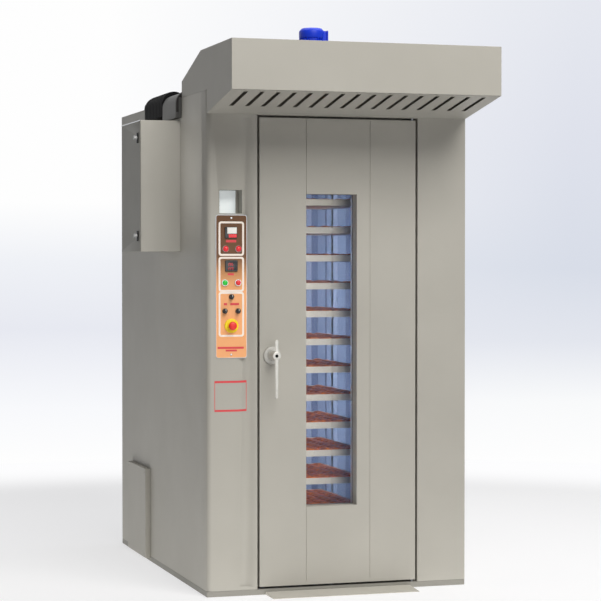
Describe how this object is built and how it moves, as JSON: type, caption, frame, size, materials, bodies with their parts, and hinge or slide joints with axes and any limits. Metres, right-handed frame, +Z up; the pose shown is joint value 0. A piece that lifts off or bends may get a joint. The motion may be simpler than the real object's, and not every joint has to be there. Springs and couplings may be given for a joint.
{
  "type": "rotating rack oven",
  "caption": "Freestanding bakery rack oven with a turning tray rack behind a windowed door, a slotted steam hood, side burner and control column.",
  "frame": {"origin": "where the axis of the turning rack meets the floor, on the underside of the base's cross-member", "axes": "+X to the right and +Y to the back as seen from the front, +Z up along the rack's axis"},
  "size_m": [1.362, 2.104, 2.489],
  "materials": {
    "enamel": "warm light grey, semi-gloss",
    "enamel_shade": "light grey, satin",
    "base_enamel": "grey, satin",
    "stainless": "brushed",
    "chrome": "polished",
    "steel": "machined",
    "sooted_steel": "heat-darkened",
    "blue_enamel": "blue, gloss",
    "burner_casting": "cast, painted grey",
    "black_plastic": "black, matte",
    "wheel_resin": "heat-resistant resin, black",
    "wool": "mineral wool",
    "silicone": "matte",
    "window": "clear with a blue reflection",
    "control_film": "brown at the top, fading to copper",
    "green_plastic": "gloss",
    "red_plastic": "gloss"
  },
  "bodies": {
    "casing": {"base_frame": "base_enamel", "entry_ramp": "enamel_shade", "left_side_panel": "enamel", "right_side_panel": "enamel", "rear_panel": "enamel", "roof_panel": "enamel_shade", "front_column": "enamel", "front_frame": "enamel", "chamber_floor": "stainless", "liner_left": "stainless", "liner_right": "stainless", "liner_rear": "stainless", "liner_top": "stainless", "insulation_jacket": "wool", "hood_shell": "enamel", "hood_baffle": "enamel_shade", "hinge_rod": "steel", "control_plate": "control_film", "cabinet_box": "enamel", "access_cover": "enamel", "burner_body": "burner_casting", "burner_cover": "black_plastic", "firing_drum": "sooted_steel", "heat_exchanger": "sooted_steel", "fan_motor": "blue_enamel", "drive_bracket": "steel", "geared_motor": "blue_enamel"},
    "door": {"door_leaf": "enamel", "door_liner": "stainless", "door_glass": "window", "door_gasket": "silicone"},
    "handle": {"door_handle": "chrome"},
    "start": {"start_button": "green_plastic"},
    "stop": {"stop_button": "red_plastic"},
    "top_selector": {"selector_top": "black_plastic"},
    "left_selector": {"selector_left": "black_plastic"},
    "right_selector": {"selector_right": "black_plastic"},
    "estop": {"estop_button": "red_plastic"},
    "cabinet_leaf": {"cabinet_door": "enamel"},
    "lower_latch": {"cabinet_latch_lower": "black_plastic"},
    "upper_latch": {"cabinet_latch_upper": "black_plastic"},
    "rack": {"main_gear": "steel", "rack_shaft": "steel", "rack_frame": "stainless", "tray_01": "stainless", "tray_02": "stainless", "tray_03": "stainless", "tray_04": "stainless", "tray_05": "stainless", "tray_06": "stainless", "tray_07": "stainless", "tray_08": "stainless", "tray_09": "stainless", "tray_10": "stainless", "tray_11": "stainless", "tray_12": "stainless"},
    "drive_pinion": {"pinion": "steel"},
    "front_wheels": {"front_wheelset": "wheel_resin"},
    "rear_wheels": {"rear_wheelset": "wheel_resin"},
    "fan": {"fan_impeller": "steel"}
  },
  "joints": [
    {"name": "door_hinge", "type": "hinge", "parent": "casing", "child": "door", "pos_m": [0.338, -0.618, 0], "axis": [0, 0, 1], "range_deg": [0, 110]},
    {"name": "handle_turn", "type": "hinge", "parent": "door", "child": "handle", "pos_m": [-0.295, -0.63, 1.014], "axis": [0, -1, 0], "range_deg": [0, 90]},
    {"name": "start_push", "type": "slide", "parent": "casing", "child": "start", "axis": [0, 1, 0], "range_m": [0, 0.004], "stiffness_N_per_m": 500},
    {"name": "stop_push", "type": "slide", "parent": "casing", "child": "stop", "axis": [0, 1, 0], "range_m": [0, 0.004], "stiffness_N_per_m": 500},
    {"name": "selector_top_turn", "type": "hinge", "parent": "casing", "child": "top_selector", "pos_m": [-0.474, -0.63, 1.263], "axis": [0, 1, 0], "range_deg": [-45, 45]},
    {"name": "selector_left_turn", "type": "hinge", "parent": "casing", "child": "left_selector", "pos_m": [-0.5025, -0.63, 1.203], "axis": [0, 1, 0], "range_deg": [-45, 45]},
    {"name": "selector_right_turn", "type": "hinge", "parent": "casing", "child": "right_selector", "pos_m": [-0.4455, -0.63, 1.203], "axis": [0, 1, 0], "range_deg": [-45, 45]},
    {"name": "estop_push", "type": "slide", "parent": "casing", "child": "estop", "axis": [0, 1, 0], "range_m": [0, 0.006]},
    {"name": "rack_spin", "type": "hinge", "parent": "casing", "child": "rack", "pos_m": [0, 0, 0], "axis": [0, 0, 1], "continuous": true},
    {"name": "pinion_spin", "type": "hinge", "parent": "casing", "child": "drive_pinion", "pos_m": [0.11333, 0.11294, 0], "axis": [0, 0, 1], "continuous": true},
    {"name": "front_wheels_roll", "type": "hinge", "parent": "rack", "child": "front_wheels", "pos_m": [0, -0.28, 0.09], "axis": [1, 0, 0], "continuous": true},
    {"name": "rear_wheels_roll", "type": "hinge", "parent": "rack", "child": "rear_wheels", "pos_m": [0, 0.28, 0.09], "axis": [1, 0, 0], "continuous": true},
    {"name": "fan_spin", "type": "hinge", "parent": "casing", "child": "fan", "pos_m": [0, 0.73, 0], "axis": [0, 0, 1], "continuous": true},
    {"name": "cabinet_hinge", "type": "hinge", "parent": "casing", "child": "cabinet_leaf", "pos_m": [-0.761, 0.218, 0], "axis": [0, 0, -1], "range_deg": [0, 110]},
    {"name": "lower_latch_turn", "type": "hinge", "parent": "cabinet_leaf", "child": "lower_latch", "pos_m": [-0.761, -0.127, 1.5235], "axis": [1, 0, 0], "range_deg": [0, 90]},
    {"name": "upper_latch_turn", "type": "hinge", "parent": "cabinet_leaf", "child": "upper_latch", "pos_m": [-0.761, -0.127, 1.9535], "axis": [1, 0, 0], "range_deg": [0, 90]}
  ],
  "couplings": [
    {"joint": "pinion_spin", "follows": "rack_spin", "ratio": -3}
  ]
}
